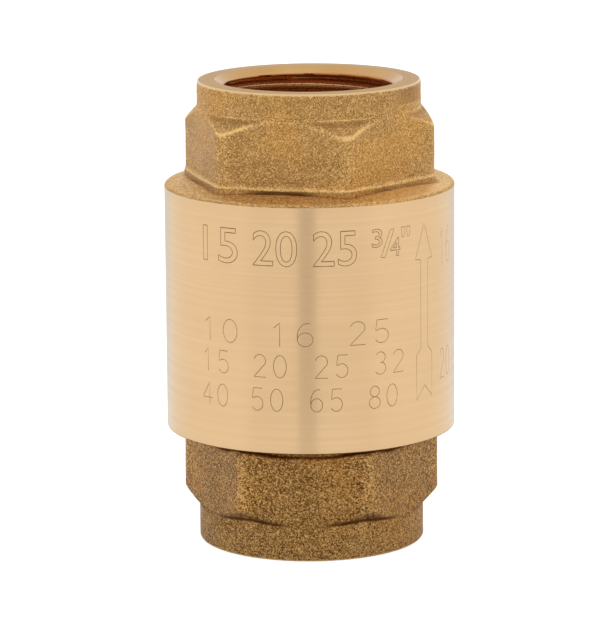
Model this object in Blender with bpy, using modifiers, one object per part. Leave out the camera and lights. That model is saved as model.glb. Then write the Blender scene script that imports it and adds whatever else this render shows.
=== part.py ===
"""Inline spring check valve with a 3/4 inch pipe socket at each end.

The valve stands on its inlet face with its axis on Z, and the flow runs upwards.
The forged body carries the outlet socket and the turned band. An end connector
screws into the body from below, and its inner end is the seat. A spring holds
the poppet on that seat. The poppet's stem slides in a four-armed guide, which
the spring and the flow press against a step in the body. Lengths are in metres.
"""

import math

import bmesh
import bpy
from mathutils import Matrix

# Outside, from the inlet face upwards
COLLAR_RADIUS = 0.0162
INLET_COLLAR_HEIGHT = 0.0042
OUTLET_COLLAR_HEIGHT = 0.0037
HEX_ACROSS_FLATS = 0.0322
HEX_CORNER_ROUND = 0.0015
INLET_HEX_HEIGHT = 0.01085
OUTLET_HEX_HEIGHT = 0.01023
INLET_HEX_CHAMFER = 0.0029
OUTLET_HEX_CHAMFER = 0.0021
INLET_HEX_TURN = math.radians(-2.9)
OUTLET_HEX_TURN = math.radians(-13.4)
BAND_RADIUS = 0.02075
BAND_HEIGHT = 0.03525
SHOULDER_RISE = 0.0009
SHOULDER_EDGE = 0.0003
BAND_EDGE = 0.00015
FACE_EDGE = 0.0003
RECESS_HEIGHT = 0.00142
RECESS_DEPTH = 0.0005
COLLAR_STEP = 0.00004

# Parallel pipe thread of both sockets, size G 3/4
PIPE_MINOR_RADIUS = 0.01206
PIPE_DEPTH = 0.00116
PIPE_PITCH = 0.001814
PIPE_CREST = 0.0003
PIPE_FLANK_ANGLE = math.radians(27.5)
SOCKET_DEPTH = 0.0135
SOCKET_RELIEF = 0.0022
SOCKET_MOUTH = 0.00147
RELIEF_CLEARANCE = 0.0002

# Screwed joint between the body and the connector
JOINT_MINOR_RADIUS = 0.01675
JOINT_DEPTH = 0.00075
JOINT_PITCH = 0.0015
JOINT_CREST = 0.00024
JOINT_FLANK_ANGLE = math.radians(30)
JOINT_CLEARANCE = 0.00015
JOINT_LENGTH = 0.0040
JOINT_RELIEF_WIDTH = 0.0017
NECK_STEP = 0.0004
NECK_HEIGHT = 0.0034
O_RING_GROOVE_WIDTH = 0.0020
O_RING_GROOVE_DEPTH = 0.0014
O_RING_CLEARANCE = 0.0001

# Seat and waterway
SEAT_BORE_RADIUS = 0.0100
SEAT_LIP_WIDTH = 0.0013
SEAT_LIP_HEIGHT = 0.0008
OUTLET_PASSAGE_RADIUS = 0.0110
OUTLET_PASSAGE_LENGTH = 0.0016
CHAMBER_CONE_HEIGHT = 0.0035
GUIDE_STEP_WIDTH = 0.0018

# Poppet
POPPET_LIFT = 0.0060
CONTACT_GAP = 0.0002
SEAL_THICKNESS = 0.0019
SEAL_OVERLAP = 0.0011
DISC_THICKNESS = 0.0018
DISC_OVERHANG = 0.0005
RETAINER_THICKNESS = 0.0014
RETAINER_CLEARANCE = 0.0012
WING_THICKNESS = 0.0014
WING_LENGTH = 0.0060
WING_CLEARANCE = 0.0002
WING_NUT_CLEARANCE = 0.0009
NUT_ACROSS_FLATS = 0.0080
NUT_THICKNESS = 0.0035
STEM_RADIUS = 0.0025
STEM_FLANGE_RADIUS = 0.0040
STEM_FLANGE_THICKNESS = 0.0012
STEM_TAIL = 0.0008
STEM_TIP_CHAMFER = 0.0004
STEM_CLEARANCE = 0.00015

# Guide
GUIDE_HEIGHT = 0.0028
GUIDE_RIM_WIDTH = 0.0018
GUIDE_CLEARANCE = 0.0002
ARM_THICKNESS = 0.0018
ARM_RECESS = 0.0003
HUB_WALL = 0.0018
HUB_RISE = 0.0008
STEM_STANDOFF = 0.0012

# Spring and the washer that it turns on
WIRE_RADIUS = 0.0004
SPRING_CLEARANCE = 0.0004
SPRING_ACTIVE_TURNS = 3.5
SPRING_END_TURNS = 1
SPRING_END_GAP = 0.0001
WASHER_THICKNESS = 0.0007
WASHER_WIDTH = 0.0026
WASHER_CLEARANCE = 0.0002

# Facets
TURN_STEPS = 32
SMALL_STEPS = 20
COIL_STEPS = 12
SECTION_STEPS = 8
CORNER_SEGMENTS = 3
EDGE_CHAMFER = 0.0003
OVERSHOOT = 0.0010
THREAD_STOCK = 0.0003
MERGE_DISTANCE = 0.000001

# Heights worked out from the sizes above
INLET_HEX_TOP_Z = INLET_COLLAR_HEIGHT + INLET_HEX_HEIGHT
NECK_Z = INLET_HEX_TOP_Z + RECESS_HEIGHT
BAND_Z = NECK_Z + CONTACT_GAP
BAND_TOP_Z = BAND_Z + BAND_HEIGHT
SHOULDER_TOP_Z = BAND_TOP_Z + SHOULDER_RISE
OUTLET_COLLAR_Z = SHOULDER_TOP_Z + OUTLET_HEX_HEIGHT
OUTLET_FACE_Z = OUTLET_COLLAR_Z + OUTLET_COLLAR_HEIGHT
NECK_TOP_Z = BAND_Z + NECK_HEIGHT
JOINT_Z = NECK_TOP_Z + JOINT_PITCH
CONNECTOR_TOP_Z = JOINT_Z + JOINT_LENGTH
SEAT_Z = CONNECTOR_TOP_Z + SEAT_LIP_HEIGHT
SEAL_Z = SEAT_Z + CONTACT_GAP
DISC_Z = SEAL_Z + SEAL_THICKNESS + CONTACT_GAP
DISC_TOP_Z = DISC_Z + DISC_THICKNESS
FLANGE_Z = DISC_TOP_Z + CONTACT_GAP
FLANGE_TOP_Z = FLANGE_Z + STEM_FLANGE_THICKNESS
WASHER_TOP_Z = FLANGE_Z + WASHER_THICKNESS
RETAINER_TOP_Z = SEAL_Z - CONTACT_GAP
RETAINER_Z = RETAINER_TOP_Z - RETAINER_THICKNESS
NUT_TOP_Z = RETAINER_Z - CONTACT_GAP
NUT_Z = NUT_TOP_Z - NUT_THICKNESS
OUTLET_SOCKET_Z = OUTLET_FACE_Z - SOCKET_DEPTH
CONE_TOP_Z = OUTLET_SOCKET_Z - OUTLET_PASSAGE_LENGTH
GUIDE_STEP_Z = CONE_TOP_Z - CHAMBER_CONE_HEIGHT
GUIDE_TOP_Z = GUIDE_STEP_Z - CONTACT_GAP
GUIDE_Z = GUIDE_TOP_Z - GUIDE_HEIGHT
ARM_Z = GUIDE_Z + ARM_RECESS
HUB_Z = FLANGE_TOP_Z + POPPET_LIFT + CONTACT_GAP
HUB_TOP_Z = GUIDE_TOP_Z + HUB_RISE
STEM_TOP_Z = HUB_TOP_Z - STEM_STANDOFF

# Radii worked out from the sizes above
HEX_CORNER_RADIUS = HEX_ACROSS_FLATS / 2 / math.cos(math.pi / 6)
HEX_TIP_RADIUS = HEX_CORNER_RADIUS - HEX_CORNER_ROUND * (1 / math.cos(math.pi / 6) - 1)
HEX_CORE_RADIUS = min(COLLAR_RADIUS, HEX_ACROSS_FLATS / 2) - EDGE_CHAMFER
RECESS_RADIUS = HEX_ACROSS_FLATS / 2 - RECESS_DEPTH
PIPE_MAJOR_RADIUS = PIPE_MINOR_RADIUS + PIPE_DEPTH
RELIEF_RADIUS = PIPE_MAJOR_RADIUS + RELIEF_CLEARANCE
JOINT_ROOT_RADIUS = JOINT_MINOR_RADIUS + JOINT_DEPTH
JOINT_RELIEF_RADIUS = JOINT_ROOT_RADIUS + RELIEF_CLEARANCE
SPIGOT_RADIUS = JOINT_ROOT_RADIUS - JOINT_CLEARANCE
SPIGOT_ROOT_RADIUS = JOINT_MINOR_RADIUS - JOINT_CLEARANCE
SPIGOT_CORE_RADIUS = SPIGOT_ROOT_RADIUS - THREAD_STOCK
NECK_RADIUS = JOINT_ROOT_RADIUS + NECK_STEP
COUNTERBORE_RADIUS = NECK_RADIUS + JOINT_CLEARANCE
O_RING_GROOVE_RADIUS = NECK_RADIUS - O_RING_GROOVE_DEPTH
SEAT_LIP_RADIUS = SEAT_BORE_RADIUS + SEAT_LIP_WIDTH
SEAL_RADIUS = SEAT_LIP_RADIUS + SEAL_OVERLAP
DISC_RADIUS = SEAL_RADIUS + DISC_OVERHANG
RETAINER_RADIUS = SEAT_BORE_RADIUS - RETAINER_CLEARANCE
WING_RADIUS = SEAT_BORE_RADIUS - WING_CLEARANCE
STEM_HOLE_RADIUS = STEM_RADIUS + STEM_CLEARANCE
HUB_RADIUS = STEM_HOLE_RADIUS + HUB_WALL
GUIDE_RADIUS = JOINT_MINOR_RADIUS - GUIDE_CLEARANCE
GUIDE_WINDOW_RADIUS = GUIDE_RADIUS - GUIDE_RIM_WIDTH
CONE_RADIUS = JOINT_MINOR_RADIUS - GUIDE_STEP_WIDTH
SPRING_RADIUS = HUB_RADIUS + SPRING_CLEARANCE + WIRE_RADIUS
WASHER_HOLE_RADIUS = STEM_FLANGE_RADIUS + WASHER_CLEARANCE
WASHER_RADIUS = WASHER_HOLE_RADIUS + WASHER_WIDTH


def clear_scene():
    for obj in list(bpy.data.objects):
        bpy.data.objects.remove(obj, do_unlink=True)


def new_collection(name):
    collection = bpy.data.collections.new(name)
    bpy.context.scene.collection.children.link(collection)
    return collection


def new_material(name, color, roughness, metallic):
    material = bpy.data.materials.new(name)
    material.use_nodes = True
    shader = material.node_tree.nodes["Principled BSDF"]
    shader.inputs["Base Color"].default_value = (*color, 1.0)
    shader.inputs["Roughness"].default_value = roughness
    shader.inputs["Metallic"].default_value = metallic
    material.diffuse_color = (*color, 1.0)
    return material


def new_object(name, mesh, collection, material=None):
    """Links a mesh as an object. One without a material is a helper, which is not a piece."""
    obj = bpy.data.objects.new(name, mesh)
    collection.objects.link(obj)
    if material:
        mesh.materials.append(material)
    else:
        obj.hide_render = True
        obj.display_type = "WIRE"
    return obj


def from_bmesh(name, shape, collection, material=None):
    mesh = bpy.data.meshes.new(name)
    shape.to_mesh(mesh)
    shape.free()
    return new_object(name, mesh, collection, material)


def turned(name, outline, collection, material=None, steps=TURN_STEPS):
    """Turns a closed outline of (radius, height) points about Z.

    The points run down the outer side and then up the bore. Where the outline
    starts and ends on the axis, the turned solid has no bore.
    """
    points = [(radius, 0.0, height) for radius, height in outline]
    edges = [(i, i + 1) for i in range(len(points) - 1)]
    if outline[0][0] > 0 or outline[-1][0] > 0:
        edges.append((len(points) - 1, 0))
    mesh = bpy.data.meshes.new(name)
    mesh.from_pydata(points, edges, [])
    obj = new_object(name, mesh, collection, material)
    screw = obj.modifiers.new("turn", "SCREW")
    screw.axis = "Z"
    screw.steps = steps
    screw.render_steps = steps
    screw.use_merge_vertices = True
    screw.merge_threshold = MERGE_DISTANCE
    return obj


def combine(obj, other, operation):
    boolean = obj.modifiers.new(operation.lower(), "BOOLEAN")
    boolean.operation = operation
    boolean.solver = "EXACT"
    boolean.object = other


def hex_prism(name, across_flats, bottom, top, collection, material=None, turn=0.0, corner_round=0.0):
    """A hexagonal prism with one corner on +X, then turned about Z."""
    radius = across_flats / 2 / math.cos(math.pi / 6)
    shape = bmesh.new()
    bmesh.ops.create_cone(
        shape,
        cap_ends=True,
        segments=6,
        radius1=radius,
        radius2=radius,
        depth=top - bottom,
        matrix=Matrix.Translation((0.0, 0.0, (top + bottom) / 2)),
    )
    if corner_round:
        corners = [edge for edge in shape.edges if edge.verts[0].co.xy == edge.verts[1].co.xy]
        bmesh.ops.bevel(
            shape,
            geom=corners,
            offset=corner_round * math.tan(math.pi / 6),
            segments=CORNER_SEGMENTS,
            profile=0.5,
            affect="EDGES",
        )
    shape.transform(Matrix.Rotation(math.pi / 6 + turn, 4, "Z"))
    return from_bmesh(name, shape, collection, material)


def pipe_ridge_half(radius):
    """Half the width, at a radius, of the ridge that cuts a socket's thread."""
    return (PIPE_PITCH - PIPE_CREST) / 2 - (radius - PIPE_MINOR_RADIUS) * math.tan(PIPE_FLANK_ANGLE)


def joint_ridge_half(radius):
    """Half the width, at a radius, of the ridge that cuts the body's joint thread."""
    return (JOINT_PITCH - JOINT_CREST) / 2 - (radius - JOINT_MINOR_RADIUS) * math.tan(JOINT_FLANK_ANGLE)


def spigot_ridge_half(radius):
    """Half the width of the connector's own ridge, which clears the flanks of the body's thread."""
    return joint_ridge_half(radius) - JOINT_CLEARANCE / math.cos(JOINT_FLANK_ANGLE)


def threaded_rod(name, root_radius, crest_radius, ridge_half, pitch, bottom, top, collection):
    """A solid rod with a right-hand thread. At the angle 0, a ridge's middle lies on the height bottom."""
    base = ridge_half(root_radius)
    tip = ridge_half(crest_radius)
    profile = [
        (root_radius, -base),
        (crest_radius, -tip),
        (crest_radius, tip),
        (root_radius, base),
        (root_radius, pitch - base),
    ]
    shape = bmesh.new()
    verts = [shape.verts.new((radius, 0.0, bottom - pitch + height)) for radius, height in profile]
    edges = [shape.edges.new(pair) for pair in zip(verts, verts[1:])]
    turns = math.ceil((top - bottom) / pitch) + 2
    bmesh.ops.spin(
        shape,
        geom=verts + edges,
        axis=(0.0, 0.0, 1.0),
        dvec=(0.0, 0.0, pitch / TURN_STEPS),
        angle=2 * math.pi * turns,
        steps=turns * TURN_STEPS,
        use_duplicate=False,
    )
    bmesh.ops.remove_doubles(shape, verts=shape.verts, dist=MERGE_DISTANCE)
    for height, outwards in ((bottom, -1.0), (top, 1.0)):
        bmesh.ops.bisect_plane(
            shape,
            geom=shape.verts[:] + shape.edges[:] + shape.faces[:],
            plane_co=(0.0, 0.0, height),
            plane_no=(0.0, 0.0, outwards),
            clear_outer=True,
        )
    bmesh.ops.holes_fill(shape, edges=[edge for edge in shape.edges if edge.is_boundary])
    bmesh.ops.recalc_face_normals(shape, faces=shape.faces)
    shape.transform(Matrix.Rotation(math.pi / TURN_STEPS, 4, "Z"))
    return from_bmesh(name, shape, collection)


def pipe_thread(name, bottom, top, cutters):
    radii = (PIPE_MINOR_RADIUS, PIPE_MAJOR_RADIUS)
    return threaded_rod(name, *radii, pipe_ridge_half, PIPE_PITCH, bottom, top, cutters)


def hex_grip(name, plain_z, collar_z, chamfer, turn, cutters):
    """A wrench hexagon whose corners are coned away towards the collar, which it runs into.

    The cone is turned by half a facet, so that its edges don't fall on those of the blank.
    """
    towards = math.copysign(1, collar_z - plain_z)
    end_z = collar_z + towards * OVERSHOOT / 2
    grip = hex_prism(
        name, HEX_ACROSS_FLATS, min(plain_z, end_z), max(plain_z, end_z), cutters, None, turn, HEX_CORNER_ROUND
    )
    collar_radius = COLLAR_RADIUS - COLLAR_STEP
    slope = (HEX_TIP_RADIUS - collar_radius) / chamfer
    reach = chamfer + OVERSHOOT / 2
    wide = HEX_CORNER_RADIUS + OVERSHOOT
    cone = [
        (0.0, collar_z + towards * OVERSHOOT),
        (collar_radius - slope * OVERSHOOT, collar_z + towards * OVERSHOOT),
        (collar_radius + slope * reach, collar_z - towards * reach),
        (wide, collar_z - towards * reach),
        (wide, plain_z - towards * OVERSHOOT),
        (0.0, plain_z - towards * OVERSHOOT),
    ]
    cone = turned(name + "_cone", cone if towards > 0 else cone[::-1], cutters)
    cone.rotation_euler.z = math.pi / TURN_STEPS
    combine(grip, cone, "INTERSECT")
    return grip


def add_pipe_socket(bore, face, inner, passage):
    """Appends a socket's bore points from its face inwards, as far as the passage behind it."""
    inward = math.copysign(1, inner - face)
    bore += [
        (RELIEF_RADIUS, face - inward * OVERSHOOT),
        (RELIEF_RADIUS, face),
        (PIPE_MINOR_RADIUS - THREAD_STOCK, face + inward * SOCKET_MOUTH),
        (PIPE_MINOR_RADIUS - THREAD_STOCK, inner - inward * SOCKET_RELIEF),
        (RELIEF_RADIUS, inner - inward * SOCKET_RELIEF),
        (RELIEF_RADIUS, inner),
        (passage, inner),
    ]


def body_blank(parts, brass):
    return turned(
        "valve_body",
        [
            (0.0, OUTLET_FACE_Z),
            (COLLAR_RADIUS - FACE_EDGE, OUTLET_FACE_Z),
            (COLLAR_RADIUS, OUTLET_FACE_Z - FACE_EDGE),
            (COLLAR_RADIUS, OUTLET_COLLAR_Z),
            (HEX_CORE_RADIUS, OUTLET_COLLAR_Z),
            (HEX_CORE_RADIUS, SHOULDER_TOP_Z),
            (BAND_RADIUS - SHOULDER_EDGE, BAND_TOP_Z + SHOULDER_EDGE),
            (BAND_RADIUS, BAND_TOP_Z),
            (BAND_RADIUS, BAND_Z + BAND_EDGE),
            (BAND_RADIUS - BAND_EDGE, BAND_Z),
            (0.0, BAND_Z),
        ],
        parts,
        brass,
    )


def body_bore(cutters):
    bore = [(0.0, OUTLET_FACE_Z + OVERSHOOT)]
    add_pipe_socket(bore, OUTLET_FACE_Z, OUTLET_SOCKET_Z, OUTLET_PASSAGE_RADIUS)
    bore += [
        (OUTLET_PASSAGE_RADIUS, CONE_TOP_Z),
        (CONE_RADIUS, GUIDE_STEP_Z),
        (JOINT_MINOR_RADIUS, GUIDE_STEP_Z),
        (JOINT_MINOR_RADIUS, CONNECTOR_TOP_Z + JOINT_RELIEF_WIDTH),
        (JOINT_RELIEF_RADIUS, CONNECTOR_TOP_Z + JOINT_RELIEF_WIDTH),
        (JOINT_RELIEF_RADIUS, CONNECTOR_TOP_Z),
        (JOINT_MINOR_RADIUS - THREAD_STOCK, CONNECTOR_TOP_Z),
        (JOINT_MINOR_RADIUS - THREAD_STOCK, NECK_TOP_Z + JOINT_CLEARANCE),
        (COUNTERBORE_RADIUS, NECK_TOP_Z + JOINT_CLEARANCE),
        (COUNTERBORE_RADIUS, BAND_Z - OVERSHOOT),
        (0.0, BAND_Z - OVERSHOOT),
    ]
    return turned("body_bore", bore, cutters)


def body_joint_thread(cutters):
    bottom = JOINT_Z - 2 * JOINT_PITCH
    top = CONNECTOR_TOP_Z + JOINT_RELIEF_WIDTH / 2
    radii = (JOINT_MINOR_RADIUS, JOINT_ROOT_RADIUS)
    return threaded_rod("body_joint", *radii, joint_ridge_half, JOINT_PITCH, bottom, top, cutters)


def make_valve_body(parts, cutters, brass):
    """The forged body: band, shoulder, outlet hexagon and collar, with its socket and chamber."""
    body = body_blank(parts, brass)
    plain_z = BAND_TOP_Z
    grip = hex_grip("outlet_hexagon", plain_z, OUTLET_COLLAR_Z, OUTLET_HEX_CHAMFER, OUTLET_HEX_TURN, cutters)
    combine(body, grip, "UNION")
    combine(body, body_bore(cutters), "DIFFERENCE")
    bottom = OUTLET_SOCKET_Z + SOCKET_RELIEF / 2
    combine(body, pipe_thread("outlet_thread", bottom, OUTLET_FACE_Z + OVERSHOOT, cutters), "DIFFERENCE")
    combine(body, body_joint_thread(cutters), "DIFFERENCE")
    return body


def connector_blank(parts, brass):
    core_z = INLET_HEX_TOP_Z - EDGE_CHAMFER
    groove_z = NECK_Z + (NECK_HEIGHT - O_RING_GROOVE_WIDTH) / 2
    groove_top_z = groove_z + O_RING_GROOVE_WIDTH
    return turned(
        "end_connector",
        [
            (0.0, SEAT_Z),
            (SEAT_LIP_RADIUS - EDGE_CHAMFER, SEAT_Z),
            (SEAT_LIP_RADIUS, SEAT_Z - EDGE_CHAMFER),
            (SEAT_LIP_RADIUS, CONNECTOR_TOP_Z),
            (SPIGOT_CORE_RADIUS, CONNECTOR_TOP_Z),
            (SPIGOT_CORE_RADIUS, NECK_TOP_Z),
            (NECK_RADIUS, NECK_TOP_Z),
            (NECK_RADIUS, groove_top_z),
            (O_RING_GROOVE_RADIUS, groove_top_z),
            (O_RING_GROOVE_RADIUS, groove_z),
            (NECK_RADIUS, groove_z),
            (NECK_RADIUS, NECK_Z),
            (RECESS_RADIUS, NECK_Z),
            (RECESS_RADIUS, core_z),
            (HEX_CORE_RADIUS, core_z),
            (HEX_CORE_RADIUS, INLET_COLLAR_HEIGHT),
            (COLLAR_RADIUS, INLET_COLLAR_HEIGHT),
            (COLLAR_RADIUS, FACE_EDGE),
            (COLLAR_RADIUS - FACE_EDGE, 0.0),
            (0.0, 0.0),
        ],
        parts,
        brass,
    )


def connector_bore(cutters):
    """The inlet socket and the seat bore, listed from the inlet and turned round to run downwards."""
    bore = [(0.0, -OVERSHOOT)]
    add_pipe_socket(bore, 0.0, SOCKET_DEPTH, SEAT_BORE_RADIUS)
    bore += [(SEAT_BORE_RADIUS, SEAT_Z + OVERSHOOT), (0.0, SEAT_Z + OVERSHOOT)]
    return turned("connector_bore", bore[::-1], cutters)


def spigot_thread(cutters):
    """The connector's own thread, in step with the body's."""
    top = CONNECTOR_TOP_Z - EDGE_CHAMFER
    radii = (SPIGOT_ROOT_RADIUS, SPIGOT_RADIUS)
    return threaded_rod("spigot_joint", *radii, spigot_ridge_half, JOINT_PITCH, JOINT_Z, top, cutters)


def make_end_connector(parts, cutters, brass):
    """The connector: inlet collar and hexagon, recess, sealed neck, screwed spigot and seat."""
    connector = connector_blank(parts, brass)
    grip = hex_grip(
        "inlet_hexagon", INLET_HEX_TOP_Z, INLET_COLLAR_HEIGHT, INLET_HEX_CHAMFER, INLET_HEX_TURN, cutters
    )
    combine(connector, grip, "UNION")
    combine(connector, spigot_thread(cutters), "UNION")
    combine(connector, connector_bore(cutters), "DIFFERENCE")
    top = SOCKET_DEPTH - SOCKET_RELIEF / 2
    combine(connector, pipe_thread("inlet_thread", -OVERSHOOT, top, cutters), "DIFFERENCE")
    return connector


def make_body_o_ring(parts, rubber):
    """The ring that seals the connector's neck in the body's counterbore."""
    section_radius = (COUNTERBORE_RADIUS - O_RING_GROOVE_RADIUS) / 2 - O_RING_CLEARANCE
    middle_radius = (COUNTERBORE_RADIUS + O_RING_GROOVE_RADIUS) / 2
    middle_z = NECK_Z + NECK_HEIGHT / 2
    outline = []
    for step in range(SECTION_STEPS):
        angle = math.pi / 2 - 2 * math.pi * step / SECTION_STEPS
        outline.append((middle_radius + section_radius * math.cos(angle), middle_z + section_radius * math.sin(angle)))
    return turned("body_o_ring", outline, parts, rubber)


def bar(name, length, width, bottom, top, turn, collection):
    """A bar across the axis, turned about Z."""
    shape = bmesh.new()
    size = Matrix.Diagonal((length, width, top - bottom, 1.0))
    place = Matrix.Translation((0.0, 0.0, (top + bottom) / 2))
    bmesh.ops.create_cube(shape, size=1.0, matrix=Matrix.Rotation(turn, 4, "Z") @ place @ size)
    return from_bmesh(name, shape, collection)


def make_stem_guide(parts, cutters, brass):
    """A rim that seats in the body, with four arms that carry the hub for the stem."""
    guide = turned(
        "stem_guide",
        [
            (GUIDE_RADIUS - EDGE_CHAMFER, GUIDE_TOP_Z),
            (GUIDE_RADIUS, GUIDE_TOP_Z - EDGE_CHAMFER),
            (GUIDE_RADIUS, GUIDE_Z + EDGE_CHAMFER),
            (GUIDE_RADIUS - EDGE_CHAMFER, GUIDE_Z),
            (GUIDE_WINDOW_RADIUS, GUIDE_Z),
            (GUIDE_WINDOW_RADIUS, GUIDE_TOP_Z),
        ],
        parts,
        brass,
    )
    hub = turned(
        "guide_hub",
        [
            (0.0, HUB_TOP_Z),
            (HUB_RADIUS - EDGE_CHAMFER, HUB_TOP_Z),
            (HUB_RADIUS, HUB_TOP_Z - EDGE_CHAMFER),
            (HUB_RADIUS, HUB_Z),
            (0.0, HUB_Z),
        ],
        cutters,
        steps=SMALL_STEPS,
    )
    combine(guide, hub, "UNION")
    length = 2 * (GUIDE_WINDOW_RADIUS + GUIDE_RIM_WIDTH / 2)
    for turn in (math.pi / 4, -math.pi / 4):
        top = GUIDE_TOP_Z - ARM_RECESS
        arm = bar("guide_arm", length, ARM_THICKNESS, ARM_Z, top, turn, cutters)
        combine(guide, arm, "UNION")
    hole = rod("guide_hole", STEM_HOLE_RADIUS, HUB_Z - OVERSHOOT, HUB_TOP_Z + OVERSHOOT, cutters)
    combine(guide, hole, "DIFFERENCE")
    return guide


def rod(name, radius, bottom, top, collection):
    outline = [(0.0, top), (radius, top), (radius, bottom), (0.0, bottom)]
    return turned(name, outline, collection, steps=SMALL_STEPS)


def disc_with_hole(name, radius, hole_radius, bottom, top, parts, material, steps=TURN_STEPS):
    outline = [
        (radius - EDGE_CHAMFER, top),
        (radius, top - EDGE_CHAMFER),
        (radius, bottom + EDGE_CHAMFER),
        (radius - EDGE_CHAMFER, bottom),
        (hole_radius, bottom),
        (hole_radius, top),
    ]
    return turned(name, outline, parts, material, steps)


def make_poppet_stem(parts, brass):
    """The stem, which the disc, the seal and the retainer hang on below its flange."""
    bottom = NUT_Z - STEM_TAIL
    tip_radius = STEM_RADIUS - STEM_TIP_CHAMFER
    outline = [
        (0.0, STEM_TOP_Z),
        (tip_radius, STEM_TOP_Z),
        (STEM_RADIUS, STEM_TOP_Z - STEM_TIP_CHAMFER),
        (STEM_RADIUS, FLANGE_TOP_Z),
        (STEM_FLANGE_RADIUS, FLANGE_TOP_Z),
        (STEM_FLANGE_RADIUS, FLANGE_Z),
        (STEM_RADIUS, FLANGE_Z),
        (STEM_RADIUS, bottom + STEM_TIP_CHAMFER),
        (tip_radius, bottom),
        (0.0, bottom),
    ]
    return turned("poppet_stem", outline, parts, brass, SMALL_STEPS)


def make_seal_retainer(parts, cutters, brass):
    """The plate under the seal, with four wings that run in the seat bore."""
    retainer = disc_with_hole(
        "seal_retainer", RETAINER_RADIUS, STEM_HOLE_RADIUS, RETAINER_Z, RETAINER_TOP_Z, parts, brass
    )
    wing_z = RETAINER_Z - WING_LENGTH
    wing_top_z = RETAINER_TOP_Z - EDGE_CHAMFER
    inner_radius = NUT_ACROSS_FLATS / 2 / math.cos(math.pi / 6) + WING_NUT_CLEARANCE
    room = turned(
        "wing_room",
        [
            (WING_RADIUS, wing_top_z + OVERSHOOT),
            (WING_RADIUS, wing_z - OVERSHOOT),
            (inner_radius, wing_z - OVERSHOOT),
            (inner_radius, wing_top_z + OVERSHOOT),
        ],
        cutters,
    )
    for turn in (0.0, math.pi / 2):
        wings = bar("wings", 2 * SEAT_BORE_RADIUS, WING_THICKNESS, wing_z, wing_top_z, turn, cutters)
        combine(wings, room, "INTERSECT")
        combine(retainer, wings, "UNION")
    return retainer


def make_stem_nut(parts, cutters, steel):
    nut = hex_prism("stem_nut", NUT_ACROSS_FLATS, NUT_Z, NUT_TOP_Z, parts, steel)
    hole = rod("nut_hole", STEM_HOLE_RADIUS, NUT_Z - OVERSHOOT, NUT_TOP_Z + OVERSHOOT, cutters)
    combine(nut, hole, "DIFFERENCE")
    return nut


def make_valve_spring(parts, steel):
    """A coil between the washer and the guide's arms, with a closed turn at each end."""
    start_z = WASHER_TOP_Z + CONTACT_GAP + WIRE_RADIUS
    end_z = ARM_Z - CONTACT_GAP - WIRE_RADIUS
    end_rise = SPRING_END_TURNS * (2 * WIRE_RADIUS + SPRING_END_GAP)
    turns = SPRING_ACTIVE_TURNS + 2 * SPRING_END_TURNS
    curve = bpy.data.curves.new("valve_spring", "CURVE")
    curve.dimensions = "3D"
    curve.bevel_depth = WIRE_RADIUS
    curve.bevel_resolution = 2
    curve.use_fill_caps = True
    spline = curve.splines.new("POLY")
    count = round(turns * COIL_STEPS) + 1
    spline.points.add(count - 1)
    for i, point in enumerate(spline.points):
        turn = turns * i / (count - 1)
        if turn < SPRING_END_TURNS:
            z = start_z + end_rise * turn / SPRING_END_TURNS
        elif turn > turns - SPRING_END_TURNS:
            z = end_z - end_rise * (turns - turn) / SPRING_END_TURNS
        else:
            share = (turn - SPRING_END_TURNS) / SPRING_ACTIVE_TURNS
            z = start_z + end_rise + share * (end_z - start_z - 2 * end_rise)
        angle = 2 * math.pi * turn
        point.co = (SPRING_RADIUS * math.cos(angle), SPRING_RADIUS * math.sin(angle), z, 1.0)
    curve.materials.append(steel)
    obj = bpy.data.objects.new("valve_spring", curve)
    parts.objects.link(obj)
    return obj


def shade_round(obj):
    if obj.type == "MESH":
        obj.data.shade_smooth()
        obj.data.set_sharp_from_angle(angle=math.radians(30))


def main():
    clear_scene()
    parts = new_collection("check_valve")
    cutters = new_collection("cutters")
    brass = new_material("forged brass", (0.47, 0.26, 0.09), 0.45, 1.0)
    turned_brass = new_material("turned brass", (0.74, 0.53, 0.30), 0.28, 1.0)
    steel = new_material("stainless steel", (0.56, 0.55, 0.53), 0.30, 1.0)
    rubber = new_material("nitrile rubber", (0.02, 0.02, 0.022), 0.65, 0.0)

    fixed = [
        make_valve_body(parts, cutters, brass),
        make_end_connector(parts, cutters, brass),
        make_body_o_ring(parts, rubber),
        make_stem_guide(parts, cutters, turned_brass),
    ]
    poppet = [
        make_poppet_stem(parts, turned_brass),
        disc_with_hole("poppet_disc", DISC_RADIUS, STEM_HOLE_RADIUS, DISC_Z, DISC_TOP_Z, parts, turned_brass),
        disc_with_hole("poppet_seal", SEAL_RADIUS, STEM_HOLE_RADIUS, SEAL_Z, DISC_Z - CONTACT_GAP, parts, rubber),
        make_seal_retainer(parts, cutters, turned_brass),
        make_stem_nut(parts, cutters, steel),
        disc_with_hole(
            "spring_washer", WASHER_RADIUS, WASHER_HOLE_RADIUS, FLANGE_Z, WASHER_TOP_Z, parts, steel, SMALL_STEPS
        ),
        make_valve_spring(parts, steel),
    ]
    for piece in fixed + poppet:
        shade_round(piece)


main()
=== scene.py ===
import math
from collections import namedtuple

import bmesh
import bpy
from mathutils import Matrix, Vector, noise


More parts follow.
